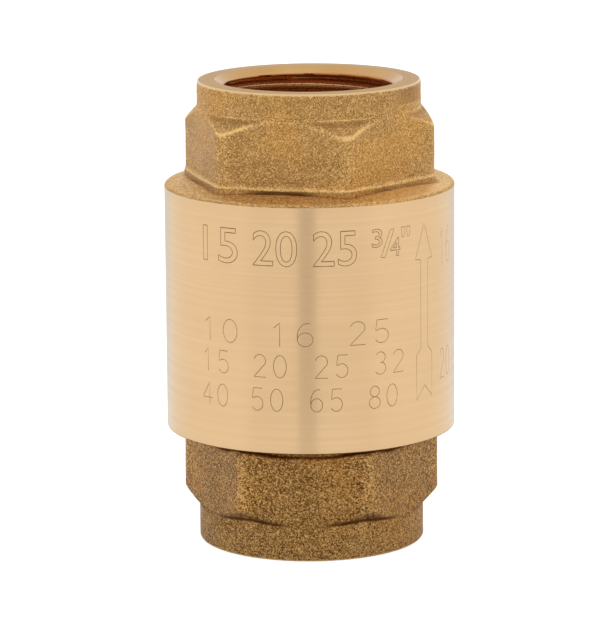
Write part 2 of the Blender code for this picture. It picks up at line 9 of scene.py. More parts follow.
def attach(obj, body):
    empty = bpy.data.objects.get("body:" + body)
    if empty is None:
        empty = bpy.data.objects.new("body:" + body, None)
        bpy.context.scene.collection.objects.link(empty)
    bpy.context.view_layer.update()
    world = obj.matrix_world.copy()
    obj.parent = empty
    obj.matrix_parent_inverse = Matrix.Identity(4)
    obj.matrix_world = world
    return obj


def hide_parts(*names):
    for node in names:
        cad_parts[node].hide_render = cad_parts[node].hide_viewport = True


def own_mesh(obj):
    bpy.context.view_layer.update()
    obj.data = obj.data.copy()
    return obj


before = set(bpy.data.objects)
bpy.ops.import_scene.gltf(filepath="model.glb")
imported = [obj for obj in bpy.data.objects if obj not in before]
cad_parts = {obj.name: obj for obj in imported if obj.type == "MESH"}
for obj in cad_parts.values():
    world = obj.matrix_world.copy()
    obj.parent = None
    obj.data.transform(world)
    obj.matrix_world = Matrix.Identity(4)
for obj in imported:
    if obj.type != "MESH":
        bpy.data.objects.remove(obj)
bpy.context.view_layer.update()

# An inline spring check valve that stands on its inlet face. Lengths are in millimetres until a mesh is
# finished, and heights are above the inlet face. Angles are in degrees from +X, anticlockwise from above.
MM = 0.001
FRONT = -90
# Steps round the axis, and how near two points are that become one.
STEPS = 360
MERGE, BAND_MERGE = 1e-5, 1e-4

# Finishes, by their place in a piece's list. Faces marked OPEN are left out of the mesh.
FORGED, TURNED, THREADED, FACED, CONED, CUT, OPEN = 0, 1, 2, 3, 4, 5, -1

# The outside. The hexagons' flats lie at half their width from the axis.
LENGTH = 66.75
HEX_FLAT = 16.1
BAND = 20.75
BAND_LOW, BAND_HIGH = 16.82, 51.62
BAND_INSIDE = 20.0
FOOT = 52.92
SHOULDER_TOP, SHOULDER_EDGE = 16.4, 20.4
SHOULDER_SLOPE = 0.22

# The connector's neck and seat.
RECESS, RECESS_LOW = 15.6, 15.08
CORNER_RISE, CORNER_WIDTH = 0.8, 10
NECK, NECK_LOW, NECK_END = 17.9, 16.47, 20.07
GROOVE_FLOOR, GROOVE_LOW, GROOVE_HIGH = 16.5, 17.17, 19.17
NECK_THREAD_END, CONNECTOR_TOP = 25.17, 25.57
SEAT_BORE, SEAT_LIP, SEAT_TOP = 10.0, 11.3, 26.37

# The body's bore.
NECK_BORE, JOINT_LOW, NECK_TOP = 18.05, 16.67, 20.22
JOINT_RELIEF = 17.7
CHAMBER, CHAMBER_LOW = 16.75, 27.27
GUIDE_STEP_INSIDE, GUIDE_STEP = 14.95, 48.15
PASSAGE, PASSAGE_LOW = 11.0, 51.65

# The sockets.
INLET_FLOOR, OUTLET_FLOOR = 13.5, 53.25
INLET_RELIEF_END, OUTLET_RELIEF_END = 11.3, 55.45
INLET_THREAD_END, OUTLET_THREAD_END = 1.85, 64.9
INLET_MOUTH, OUTLET_MOUTH = 1.12, 65.8
SOCKET_RELIEF = 13.42
# A mouth's cone starts with this radius. Past the cone's depth the thread's groove deepens over the fade.
MOUTH, MOUTH_SLOPE = 13.4, 1.22
MOUTH_CONE, MOUTH_FADE = 0.8, 0.9
# Painted shade in a mouth's fading thread groove.
FADING_SHADE = -0.75

# Threads: the radius inside and outside, the pitch, the width of a crest and the slope of a flank.
PIPE_THREAD = {"low": 12.06, "high": 13.22, "pitch": 1.814, "crest": 0.3, "flank": 27.5}
JOINT_THREAD = {"low": 16.75, "high": 17.5, "pitch": 1.5, "crest": 0.24, "flank": 30.0}
NECK_THREAD = {"low": 16.6, "high": 17.35, "pitch": 1.5, "crest": 0.24, "flank": 30.0}
# At the thread angle, a hole's groove or a neck's crest passes the height that its thread starts from.
OUTLET_START, INLET_START, JOINT_START = 53.7, -1.0, 21.57
THREAD_ANGLE = 5.6
THREAD_ROUNDING = 0.12
# Where the rows of one turn of a thread lie, as shares of its pitch.
SEEN_TURN = (0, 0.06, 0.11, 0.17, 0.25, 0.33, 0.39, 0.43, 0.47,
             0.53, 0.57, 0.61, 0.67, 0.75, 0.83, 0.89, 0.94)
HIDDEN_TURN = (0, 0.1, 0.25, 0.4, 0.5, 0.6, 0.75, 0.9)

# The uneven skin that forging and blasting leave, as waves by their rise and their size. The steps are those
# of the rows that show it on a collar, a chamfer and a hexagon's side.
SKIN_WAVES = (0.045, 4.1), (0.022, 0.95), (0.012, 0.42)
COLLAR_STEP, CHAMFER_STEP, SIDE_STEP = 0.3, 0.1, 0.35

# The spring. Its closed end turns lie a gap apart.
SPRING_LOW, SPRING_HIGH = 31.57, 45.25
SPRING_RADIUS = 5.25
WIRE, WIRE_GAP = 0.4, 0.1
ACTIVE_TURNS, END_TURNS = 3.5, 1.0
WIRE_SIDES, COIL_STEPS = 16, 48


# ---------------------------------------------------------------- profiles

# One line of a section that is turned round the axis. Reach, height and the painted light may be functions of
# the angle. A face takes the finish of its first row. Skin is the share of the forged skin that the row has.
# The last
# value is painted light on the colour: a painted highlight above 0, on edges and corners, with some rubbed
# wear on the chamfers' edges, and painted shade below 0, in creases and under overhangs.
Row = namedtuple("Row", "reach height finish skin wear", defaults=(0.0, 0.0))


def section(*corners):
    """Rows from plain tuples, which may leave out skin and wear."""
    return [Row(*corner) for corner in corners]


def between(first, last, share):
    return first + (last - first) * share


def clamped(share):
    return min(1.0, max(0.0, share))


def soft_min(one, other, width):
    near = max(width - abs(one - other), 0.0) / width
    return min(one, other) - near * near * width / 4


def soft_max(one, other, width):
    return -soft_min(-one, -other, width)


def bell(value, width):
    return math.exp(-(value / width) ** 2)


def off(angle, middle):
    """Degrees from the middle of something to an angle, -180 to 180."""
    return (angle - middle + 180) % 360 - 180


def heights(first, last, step):
    """Even heights from first to last, at most a step apart."""
    count = max(1, math.ceil(abs(last - first) / step - 1e-6))
    return [between(first, last, index / count) for index in range(count + 1)]


def at(value, angle):
    """A row's value at an angle."""
    return value(angle) if callable(value) else value


def mark(angle, middle, width):
    """How strong a mark on one side of the valve is at an angle: 1 in its middle and 0 far from it."""
    return bell(off(angle, middle), width)


# How a chamfer meets its collar, in millimetres.
CHAMFER_SINK = 0.04
RING_START, RING_SLOPE = 0.03, 3.0
CREASE_ROUNDING = 0.35
# How wide the painted highlights and painted shade are: across edges and creases in millimetres, round the
# axis in degrees.
EDGE_WIDTH, LIP_WIDTH = 0.30, 0.15
CREASE_WIDTH, CREASE_TAIL = 0.18, 0.42
STRIPE_WIDTH = 3.6
GLINT, GLINT_WIDTH = 8, 9


class Grip(namedtuple("Grip", "turn rounding collar end lean slope up soft dirt rub lip shine")):
    """A hexagon for a wrench, chamfered into its collar. Its corners point to turn and every 60 degrees from
    there, and have the radius rounding. The collar has the radius collar. It ends at the height end in the
    middle of a side, and higher by lean at a corner. The chamfer widens by slope in a millimetre of height.
    Up is 1 where the collar is above the hexagon and -1 where it is below. Soft is how wide the edge of the
    chamfer is rounded. The last four values are painted light: how dark the painted shade in the crease at
    the collar is, and how bright the painted highlights are on the edge of the chamfer (where they are partly
    rubbed wear), on the edge of the crease and up the corners."""

    def across(self, angle):
        """Degrees from the nearest corner, -30 to 30."""
        return (angle - self.turn + 30) % 60 - 30

    def near_corner(self, angle):
        """1 at a corner and 0 in the middle of a side."""
        return 1 - abs(self.across(angle)) / 30

    def side(self, angle):
        """How far the hexagon reaches."""
        corner = math.radians(abs(self.across(angle)))
        face = math.pi / 6 - corner
        straight = HEX_FLAT - self.rounding
        if HEX_FLAT * math.tan(face) <= straight * math.tan(math.pi / 6):
            return HEX_FLAT / math.cos(face)
        centre = straight / math.cos(math.pi / 6)
        return centre * math.cos(corner) + math.sqrt(self.rounding ** 2 - (centre * math.sin(corner)) ** 2)

    def inset(self, amount):
        return lambda angle: self.side(angle) - amount

    def highlight_stripe(self, angle):
        """The painted highlight stripe that runs up a corner."""
        return self.shine * bell(self.across(angle), STRIPE_WIDTH)

    def past(self, angle, height):
        """How far a height lies past the collar's end, towards the hexagon."""
        return self.up * (self.end + self.lean * self.near_corner(angle) - height)

    def cone(self, angle, height):
        """How far the chamfer reaches."""
        return self.collar - CHAMFER_SINK + self.slope * self.past(angle, height)

    def chamfered(self, angle, height):
        """How far the hexagon, its chamfer or the collar's end reaches."""
        ring = self.collar - RING_SLOPE * max(self.past(angle, height) - RING_START, 0.0)
        outer = soft_min(self.side(angle), self.cone(angle, height), self.soft)
        return soft_max(outer, ring, CREASE_ROUNDING)

    def chamfer_light(self, angle, height):
        """Painted light on the chamfer: a painted highlight on its edge, partly rubbed wear, that glints
        beside the corners; painted shade in the crease with a painted highlight on its lip; and a highlight
        stripe up each corner.
        """
        cone = self.cone(angle, height)
        corner = self.near_corner(angle)
        started = clamped((cone - self.collar + 0.1) / 0.3)
        edge_highlight = self.rub * bell(self.side(angle) - cone, EDGE_WIDTH) * started * between(0.25, 0.5, corner)
        edge_highlight *= 0.75 + 0.75 * bell(self.across(angle) - GLINT, GLINT_WIDTH)
        deep = self.past(angle, height) - 0.05 - self.lip
        creased = min(1.0, corner * 1.4)
        crease_shade = self.dirt * bell(deep, CREASE_TAIL if deep > 0 else CREASE_WIDTH) * creased
        edge_highlight += self.lip * bell(deep + self.lip, LIP_WIDTH) * creased
        return edge_highlight - crease_shade + self.highlight_stripe(angle) * (1 - started * 0.3)

    def collar_rows(self, first, last, wear):
        return [Row(self.collar, level, FORGED, 1, wear) for level in heights(first, last, COLLAR_STEP)]

    def chamfer_rows(self, first, last):
        return [Row(lambda angle, level=level: self.chamfered(angle, level), level, FORGED, 1,
                    lambda angle, level=level: self.chamfer_light(angle, level))
                for level in heights(first, last, CHAMFER_STEP)]

    def side_rows(self, first, last):
        return [Row(self.side, level, FORGED, 1, self.highlight_stripe) for level in heights(first, last, SIDE_STEP)]


# The last four values of each hexagon set its painted shade and painted highlights.
OUTLET = Grip(turn=-13.4, rounding=2.5, collar=15.95, end=63.0, lean=0.0, slope=1.0, up=1, soft=0.5,
              dirt=0.4, rub=1.4, lip=0.4, shine=0.17)
INLET = Grip(turn=-2.9, rounding=1.9, collar=16.2, end=4.85, lean=0.6, slope=1.3, up=-1, soft=0.45,
             dirt=1.15, rub=0.45, lip=0.0, shine=0.32)


# ---------------------------------------------------------------- threads

def off_helix(angle, height, start, pitch):
    """How far a point lies from the middle of the nearest turn of a right-hand helix."""
    turn = (height - start - pitch * (angle - THREAD_ANGLE) / 360) % pitch
    return min(turn, pitch - turn)


def threaded_hole(angle, height, start, low, high, pitch, crest, flank):
    """How far a threaded hole reaches."""
    depth = ((pitch - crest) / 2 - off_helix(angle, height, start, pitch)) / math.tan(math.radians(flank))
    return soft_max(soft_min(low + depth, high, THREAD_ROUNDING), low, THREAD_ROUNDING)


def threaded_neck(angle, height, start, low, high, pitch, crest, flank):
    """How far a threaded neck reaches."""
    fall = (off_helix(angle, height, start, pitch) - crest / 2) / math.tan(math.radians(flank))
    return soft_max(soft_min(high - fall, high, THREAD_ROUNDING), low, THREAD_ROUNDING)


def helix_rows(low, high, start, reach, form, shares=SEEN_TURN):
    """Rows that climb with a thread between two heights. Beyond the threaded length they lie on its end."""
    pitch = form["pitch"]
    crest_inside = reach is not threaded_neck
    first = math.floor((low - start) / pitch - 1)
    last = math.ceil((high - start) / pitch + 1)
    rows = []
    for turn in range(first, last + 1):
        for share in shares:
            def height(angle, climb=turn + share):
                return min(max(start + pitch * ((angle - THREAD_ANGLE) / 360 + climb), low), high)

            def depth(angle, height=height):
                return reach(angle, height(angle), start, **form)

            # Painted light on a thread: a painted highlight on the crests and painted shade in the roots.
            def wear(angle, depth=depth):
                deep = (depth(angle) - form["low"]) / (form["high"] - form["low"])
                return 1 - 2 * (deep if crest_inside else 1 - deep)

            rows.append(Row(depth, height, THREADED, 0, wear))
    return rows


def run_out(angle, depth, height, start, low, high, **form):
    """A pipe thread whose groove fades out just inside a face, where a cone opens the mouth."""
    share = clamped((depth - MOUTH_CONE) / MOUTH_FADE)
    groove = threaded_hole(angle, height, start, low, high, **form)
    return max(between(low, groove, share * share * (3 - 2 * share)), MOUTH - depth * MOUTH_SLOPE)


def outlet_run_out(angle, height, start, **form):
    return run_out(angle, LENGTH - height, height, start, **form)


def inlet_run_out(angle, height, start, **form):
    return run_out(angle, height, height, start, **form)


def mouth_rows(levels):
    """The plain cone between a thread and its face."""
    return [Row(MOUTH - min(LENGTH - level, level) * MOUTH_SLOPE, level, CONED) for level in levels]


# ---------------------------------------------------------------- body and connector

def shoulder_height(reach):
    return FOOT - (reach - SHOULDER_TOP) * SHOULDER_SLOPE


# Painted light on the body, by its middle and width: painted shade on the collar's right-hand front, painted
# shade in the crease under the hexagon's front and a painted highlight on one side of the shoulder.
COLLAR_SHADE = -26, 17
FOOT_SHADE = OUTLET.turn + FRONT, 38
SHOULDER_HIGHLIGHT = -35, 32


def outlet_rows():
    """The collar and the chamfered hexagon, from the outlet face down to the hexagon's foot."""
    # Painted shade on the collar's right-hand front.
    def shaded(angle):
        return -0.42 * mark(angle, *COLLAR_SHADE)

    # The last values paint a highlight on the collar's outer top edge.
    rows = section((MOUTH, LENGTH, FACED), (15.55, LENGTH, FACED), (15.7, 66.73, TURNED),
                   (15.83, 66.67, TURNED), (15.9, 66.58, TURNED, 0.2), (15.93, 66.52, FORGED, 0.6, 0.7),
                   (OUTLET.collar, 66.42, FORGED, 1, 0.2))
    rows += OUTLET.collar_rows(66.2, 64.3, shaded)
    return rows + OUTLET.chamfer_rows(64.1, 59.4) + OUTLET.side_rows(59.1, 54.3)


# The flare and the crease at the foot of the outlet hexagon: how far out from its side, how far up from the
# foot's height, the share of the crease's sag, and the painted light: a painted highlight on the flare's lip
# above 0 and painted shade in the crease below 0.
FLARE = ((0, 1.2, 0, 0), (0.02, 0.95, 0, 0.05), (0.05, 0.78, 0, 0.2), (0.12, 0.64, 0, 0.4),
         (0.21, 0.54, 0, 0.55), (0.30, 0.46, 0, 0.6), (0.36, 0.38, 0, 0.5), (0.40, 0.31, 0, 0.1),
         (0.42, 0.24, 0.3, -0.8), (0.43, 0.10, 0.7, -1.1), (0.48, 0, 1, -1.1), (0.60, -0.03, 1, -0.9),
         (0.85, -0.02, 0.6, -0.3))
FLARE_AT_CORNER = 0.45
FLARE_END = 1.05
CREASE_SAG = 0.22
# Rows of the flare lower than this lie no higher than the shoulder.
CREASE_TOP = 0.2
SHOULDER_SHARES = (0, 0.08, 0.16, 0.25, 0.35, 0.45, 0.55, 0.65, 0.75, 0.85, 0.93, 1.0)


def foot_rows():
    """The foot of the outlet hexagon, and the shoulder that falls from it to the band."""
    def middle(angle):
        """1 in the middle of a side and 0 at a corner."""
        return math.sin(math.radians(OUTLET.across(angle) * 3)) ** 2

    # Painted shade in the crease, strongest in the middle of a side and at the front.
    def dirt(angle):
        return between(0.1, 1.0, middle(angle)) * between(0.3, 1.0, mark(angle, *FOOT_SHADE))

    # Painted light on the shoulder, stronger as a painted highlight on one side.
    def shoulder_light(angle):
        return 0.46 + 0.32 * mark(angle, *SHOULDER_HIGHLIGHT)

    rows = []
    for out, up, sag, light_mark in FLARE:
        def flared(angle, out=out):
            return OUTLET.side(angle) + out * between(FLARE_AT_CORNER, 1.0, middle(angle))

        def low(angle, flared=flared, up=up, sag=sag):
            rise = min(up, shoulder_height(flared(angle)) - FOOT) if up < CREASE_TOP else up
            return FOOT + rise - CREASE_SAG * sag * middle(angle)

        def wear(angle, light_mark=light_mark):
            return light_mark * (dirt(angle) if light_mark < 0 else 1)

        rows.append(Row(flared, low, FORGED, 0.6, wear))
    for share in SHOULDER_SHARES:
        def reach(angle, share=share):
            return between(OUTLET.side(angle) + FLARE_END, SHOULDER_EDGE, share)

        def height(angle, reach=reach):
            return shoulder_height(reach(angle))

        rows.append(Row(reach, height, FORGED, 1.0, shoulder_light))
    return rows


def body_rows():
    """The body from its outlet face down the outside, and up through the bore and the outlet socket."""
    rows = outlet_rows() + foot_rows()
    # The last values paint a highlight on the band's upper edge and paint shade under its lower edge.
    rows += section((20.56, 51.92, FORGED, 0.7, 0.3), (20.69, 51.78, FORGED, 0.3, 0.2),
                    (BAND, BAND_HIGH, OPEN), (BAND, BAND_LOW, FORGED, 0, -0.3),
                    (20.71, BAND_LOW - 0.1, FORGED, 0.2, -0.9), (20.6, BAND_LOW - 0.15, FORGED, 0, -1),
                    (18.1, JOINT_LOW, TURNED), (NECK_BORE, 16.72, TURNED), (NECK_BORE, NECK_TOP, THREADED))
    rows += helix_rows(NECK_TOP, CONNECTOR_TOP, JOINT_START, threaded_hole, JOINT_THREAD, HIDDEN_TURN)
    rows += section((JOINT_RELIEF, CONNECTOR_TOP, THREADED), (JOINT_RELIEF, CHAMBER_LOW, TURNED),
                    (CHAMBER, CHAMBER_LOW, TURNED), (CHAMBER, GUIDE_STEP, TURNED),
                    (GUIDE_STEP_INSIDE, GUIDE_STEP, TURNED), (PASSAGE, PASSAGE_LOW, TURNED),
                    (PASSAGE, OUTLET_FLOOR, TURNED), (SOCKET_RELIEF, OUTLET_FLOOR, TURNED),
                    (SOCKET_RELIEF, OUTLET_RELIEF_END, THREADED))
    rows += helix_rows(OUTLET_RELIEF_END, OUTLET_THREAD_END, OUTLET_START, threaded_hole, PIPE_THREAD)
    fading = helix_rows(OUTLET_THREAD_END, OUTLET_MOUTH, OUTLET_START, outlet_run_out, PIPE_THREAD)
    rows += [row._replace(wear=FADING_SHADE) for row in fading]
    return rows + mouth_rows((OUTLET_MOUTH, 66.1, 66.45))


def connector_rows():
    """The connector from its inlet face out, up round the hexagon and neck, and down through its bore."""
    def top(drop):
        """A height below the hexagon's upper edge, which stands higher at its corners."""
        return lambda angle: RECESS_LOW - drop + CORNER_RISE * bell(INLET.across(angle), CORNER_WIDTH)

    # The last values paint a highlight on the inlet face's outer edge and a little light on the collar.
    rows = section((MOUTH, 0, FACED), (15.9, 0, FACED), (16.04, 0.05, FORGED, 0.2, 0.7),
                   (16.14, 0.17, FORGED, 0.4, 0.9), (INLET.collar, 0.32, FORGED, 0.8, 0.25))
    rows += INLET.collar_rows(0.6, 3.9, 0.14) + INLET.chamfer_rows(4.0, 8.3) + INLET.side_rows(8.6, 14.4)
    # The last values paint a highlight stripe up the corners and paint shade in the recess under the band.
    rows += section((INLET.side, top(0.6), FORGED, 1, INLET.highlight_stripe), (INLET.side, top(0.43), FORGED, 0.7),
                    (INLET.inset(0.03), top(0.25), FORGED, 0.6),
                    (INLET.inset(0.12), top(0.12), FORGED, 0.4, -0.2),
                    (INLET.inset(0.30), top(0.03), FORGED, 0, -0.4),
                    (INLET.inset(0.6), top(0), FORGED, 0, -0.3), (15.65, top(0), FORGED, 0, -0.3),
                    (RECESS, top(-0.1), FORGED, 0, -0.3), (RECESS, 16.35, FORGED, 0, -0.3),
                    (15.75, NECK_LOW, TURNED), (NECK, NECK_LOW, TURNED), (NECK, GROOVE_LOW, TURNED),
                    (GROOVE_FLOOR, GROOVE_LOW, TURNED), (GROOVE_FLOOR, GROOVE_HIGH, TURNED),
                    (NECK, GROOVE_HIGH, TURNED), (NECK, NECK_END, TURNED),
                    (NECK_THREAD["low"], NECK_END, THREADED))
    rows += helix_rows(NECK_END, NECK_THREAD_END, JOINT_START, threaded_neck, NECK_THREAD, HIDDEN_TURN)
    rows += section((NECK_THREAD["low"], NECK_THREAD_END, TURNED), (16.4, CONNECTOR_TOP, TURNED),
                    (SEAT_LIP, CONNECTOR_TOP, TURNED), (SEAT_LIP, 26.07, TURNED), (11.0, SEAT_TOP, TURNED),
                    (SEAT_BORE, SEAT_TOP, TURNED), (SEAT_BORE, INLET_FLOOR, TURNED),
                    (SOCKET_RELIEF, INLET_FLOOR, TURNED), (SOCKET_RELIEF, INLET_RELIEF_END, THREADED))
    rows += helix_rows(INLET_THREAD_END, INLET_RELIEF_END, INLET_START, threaded_hole, PIPE_THREAD)[::-1]
    rows += helix_rows(INLET_MOUTH, INLET_THREAD_END, INLET_START, inlet_run_out, PIPE_THREAD)[::-1]
    return rows + mouth_rows((INLET_MOUTH, 0.75, 0.35))


# ---------------------------------------------------------------- making pieces

def skin(place):
    """How far the forged skin stands out at a place."""
    return sum(rise * noise.noise(place / size) for rise, size in SKIN_WAVES)


def spun(rows):
    """Wraps a sheet round the axis through the rows of a closed section."""
    rows = rows + rows[:1]
    shape = bmesh.new()
    bmesh.ops.create_grid(shape, x_segments=STEPS, y_segments=len(rows) - 1, size=1.0)
    order = shape.verts.layers.int.new("row")
    # Each point carries its row's painted light and shade.
    light_mark = shape.verts.layers.float.new("wear")
    for point in shape.verts:
        point[order] = round((point.co.y + 1) / 2 * (len(rows) - 1))
        row = rows[point[order]]
        angle = (point.co.x + 1) / 2 * 360
        reach, height = at(row.reach, angle), at(row.height, angle)
        point[light_mark] = at(row.wear, angle)
        turn = math.radians(angle)
        if row.skin:
            reach += row.skin * skin(Vector((reach * math.cos(turn), reach * math.sin(turn), height)))
        point.co = (reach * math.cos(turn), reach * math.sin(turn), height)
    missing = []
    for face in shape.faces:
        finish = rows[min(point[order] for point in face.verts)].finish
        face.material_index = max(0, finish)
        face.smooth = True
        if finish == OPEN:
            missing.append(face)
    bmesh.ops.remove_doubles(shape, verts=shape.verts, dist=MERGE)
    bmesh.ops.recalc_face_normals(shape, faces=shape.faces)
    bmesh.ops.delete(shape, geom=missing, context="FACES_ONLY")
    shape.verts.layers.int.remove(order)
    return shape


def spring_coil():
    """A coil spring with closed ends, as a tube swept along its helix."""
    turns = ACTIVE_TURNS + 2 * END_TURNS
    rise = 2 * WIRE + WIRE_GAP
    first, last = SPRING_LOW + WIRE, SPRING_HIGH - WIRE
    shape = bmesh.new()
    bmesh.ops.create_grid(shape, x_segments=WIRE_SIDES, y_segments=round(turns * COIL_STEPS), size=1.0)
    for point in shape.verts:
        turn = (point.co.y + 1) / 2 * turns
        if turn < END_TURNS:
            height = first + rise * turn / END_TURNS
        elif turn > turns - END_TURNS:
            height = last - rise * (turns - turn) / END_TURNS
        else:
            height = between(first + rise, last - rise, (turn - END_TURNS) / ACTIVE_TURNS)
        round_wire = (point.co.x + 1) * math.pi
        reach = SPRING_RADIUS + WIRE * math.cos(round_wire)
        point.co = (reach * math.cos(turn * math.tau), reach * math.sin(turn * math.tau),
                    height + WIRE * math.sin(round_wire))
    bmesh.ops.remove_doubles(shape, verts=shape.verts, dist=MERGE)
    bmesh.ops.holes_fill(shape, edges=shape.edges, sides=WIRE_SIDES)
    bmesh.ops.recalc_face_normals(shape, faces=shape.faces)
    for face in shape.faces:
        face.smooth = True
    return shape


def mesh_from(shape, name):
    mesh = bpy.data.meshes.new(name)
    shape.to_mesh(mesh)
    shape.free()
    return mesh


def placed(name, data):
    """An object in the scene, at the origin."""
    piece = bpy.data.objects.new(name, data)
    bpy.context.scene.collection.objects.link(piece)
    return piece


def result_of(plain):
    """The mesh that an object's curve or modifiers give. The object itself goes."""
    bpy.context.view_layer.update()
    mesh = bpy.data.meshes.new_from_object(plain.evaluated_get(bpy.context.evaluated_depsgraph_get()))
    bpy.data.objects.remove(plain)
    return mesh


def round_off(mesh):
    """Shades the turned band as a true cylinder, also between its grooves."""
    normals = [(0, 0, 0)] * len(mesh.loops)
    for face in mesh.polygons:
        places = [mesh.vertices[index].co for index in face.vertices]
        if min(place.to_2d().length for place in places) > (BAND - 0.004) * MM:
            for loop, place in zip(face.loop_indices, places):
                normals[loop] = (*place.to_2d().normalized(), 0)
    mesh.normals_split_custom_set(normals)


def finished(shape, name, finishes, node, sharp=32):
    """Makes the shape an object in metres that stands for its CAD node on the housing. Edges that bend by
    more than sharp degrees look sharp."""
    bmesh.ops.transform(shape, matrix=Matrix.Scale(MM, 4), verts=shape.verts)
    mesh = mesh_from(shape, name)
    for finish in finishes:
        mesh.materials.append(finish)
    mesh.set_sharp_from_angle(angle=math.radians(sharp))
    round_off(mesh)
    piece = placed(name, mesh)
    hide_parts(node)
    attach(piece, "housing")
    return piece


# ---------------------------------------------------------------- engraving

# Places on the band are (degrees from the front, height). A degree is so many millimetres wide.
DEGREE = BAND * math.pi / 180
ARROW = [(50.4, 48.1), (55.6, 43.1), (52.8, 42.9), (52.8, 30.4), (55.6, 29.4), (55.6, 23.1),
         (50.7, 24.9), (45.9, 22.9), (45.9, 29.4), (48.5, 30.4), (48.2, 43.0), (45.2, 43.1)]
SLASH = [(34.4, 48.0), (32.7, 48.0), (28.4, 44.2), (30.2, 44.1)]
INCHES = [[(37.8, 48.1), (39.7, 48.1), (39.3, 46.7), (38.3, 46.7)],
          [(40.4, 48.1), (42.4, 48.1), (42.0, 46.7), (41.0, 46.7)]]
# Figures, and where they start and end along the band and in height.
OUTLINED = (("3", 24.4, 29.2, 45.6, 48.3), ("4", 32.6, 37.4, 44.1, 46.8), ("15", -46, -28.8, 43.3, 48.4),
            ("20", -22.6, -4.8, 43.3, 48.4), ("25", 1, 18.4, 43.3, 48.4))
SINGLE = (("10 16 25", -46.6, 32.3, 32.1, 35.4), ("15 20 25 32", -46.9, 39.1, 27.6, 30.8),
          ("40 50 65 80", -47.1, 36, 22.8, 26.0), ("16", 61.7, 72, 41.5, 46.6), ("20", 61.7, 72, 25.1, 29.3))
# A groove's cutter: its radius, how far its middle stands out from the band, and its longest step. Faces
# deeper than the cut's depth belong to a groove.
OUTLINE_CUTTER, FIGURE_CUTTER, SINGLE_CUTTER = 0.066, 0.054, 0.07
CUTTER_RISE = 0.02
CUTTER_STEP = 0.3
CUT_DEPTH = 0.012
# A single-line figure's share of its room.
FIGURE_WIDE, FIGURE_GAP = 0.7, 0.3


def groove(points, radius=OUTLINE_CUTTER, closed=True):
    """A groove's cutter along a line of places, still flat, in millimetres."""
    curve = bpy.data.curves.new("groove", "CURVE")
    curve.dimensions = "3D"
    curve.bevel_depth = radius
    curve.bevel_resolution = 0
    line = curve.splines.new("POLY")
    walk = []
    for here, there in zip(points, points[1:] + points[:1] if closed else points[1:]):
        count = max(1, round(abs(there[0] - here[0]) * DEGREE / CUTTER_STEP))
        for index in range(count):
            share = index / count
            walk.append((between(here[0], there[0], share) * DEGREE, between(here[1], there[1], share)))
    if not closed:
        walk.append((points[-1][0] * DEGREE, points[-1][1]))
    line.points.add(len(walk) - 1)
    for point, place in zip(line.points, walk):
        point.co = (*place, CUTTER_RISE, 1)
    line.use_cyclic_u = closed
    curve.use_fill_caps = not closed
    return result_of(placed("groove", curve))


def outlined(text, first, last, low, high):
    """Cutters for the outlines of figures between two places."""
    curve = bpy.data.curves.new("figure", "FONT")
    curve.body = text
    curve.fill_mode = "NONE"
    curve.resolution_u = 5
    curve.bevel_depth = FIGURE_CUTTER / (high - low)
    curve.bevel_resolution = 0
    mesh = result_of(placed("figure", curve))
    across = [point.co.x for point in mesh.vertices]
    upward = [point.co.y for point in mesh.vertices]
    wide = (last - first) * DEGREE / (max(across) - min(across))
    tall = (high - low) / (max(upward) - min(upward))
    for point, x, y in zip(mesh.vertices, across, upward):
        point.co = (first * DEGREE + (x - min(across)) * wide, low + (y - min(upward)) * tall,
                    point.co.z * tall + CUTTER_RISE)
    return mesh


def arc(x, y, wide, tall, first, last, count=12):
    """Points along an oval round (x, y), from one angle to another."""
    turns = [math.radians(between(first, last, index / count)) for index in range(count + 1)]
    return [(x + wide * math.cos(turn), y + tall * math.sin(turn)) for turn in turns]


# Single-line figures in a box one wide and one high.
FIGURES = {"0": arc(0.5, 0.5, 0.45, 0.5, 90, 450, 18),
           "1": [(0.22, 0.78), (0.55, 1), (0.55, 0)],
           "2": arc(0.5, 0.72, 0.42, 0.28, 165, -25) + [(0.06, 0), (0.95, 0)],
           "3": arc(0.46, 0.76, 0.38, 0.24, 150, -90) + arc(0.46, 0.27, 0.43, 0.27, 85, -150),
           "4": [(0.72, 0), (0.72, 1), (0.04, 0.3), (0.98, 0.3)],
           "5": [(0.88, 1), (0.2, 1), (0.12, 0.55)] + arc(0.48, 0.31, 0.43, 0.31, 128, -150),
           "6": arc(0.62, 0.42, 0.55, 0.58, 75, 185, 8) + arc(0.5, 0.3, 0.42, 0.3, 175, -190, 16),
           "8": arc(0.5, 0.76, 0.36, 0.24, -90, 270, 16) + arc(0.5, 0.26, 0.44, 0.26, 90, -270, 16)}


def single(text, first, last, low, high):
    """Cutters for single-line figures, spread evenly between two places. A blank takes a figure's room."""
    step = (last - first) / (len(text) - FIGURE_GAP)
    cutters = []
    for place, figure in enumerate(text):
        if figure in FIGURES:
            line = [(first + step * (place + FIGURE_WIDE * x), between(low, high, y))
                    for x, y in FIGURES[figure]]
            cutters.append(groove(line, SINGLE_CUTTER, False))
    return cutters


def bent(mesh):
    """Bends a flat cutter round the band."""
    for point in mesh.vertices:
        point.co.x /= DEGREE
        turn = math.radians(point.co.x)
        reach = BAND + point.co.z
        point.co = (reach * math.sin(turn), -reach * math.cos(turn), point.co.y)


def cutters():
    """All grooves of the band: the flow arrow, the size and the figures."""
    meshes = [groove(points) for points in (ARROW, SLASH, *INCHES)]
    meshes += [outlined(*figures) for figures in OUTLINED]
    for figures in SINGLE:
        meshes += single(*figures)
    shape = bmesh.new()
    for mesh in meshes:
        bent(mesh)
        shape.from_mesh(mesh)
    bmesh.ops.remove_doubles(shape, verts=shape.verts, dist=MERGE)
    bmesh.ops.recalc_face_normals(shape, faces=shape.faces)
    return shape


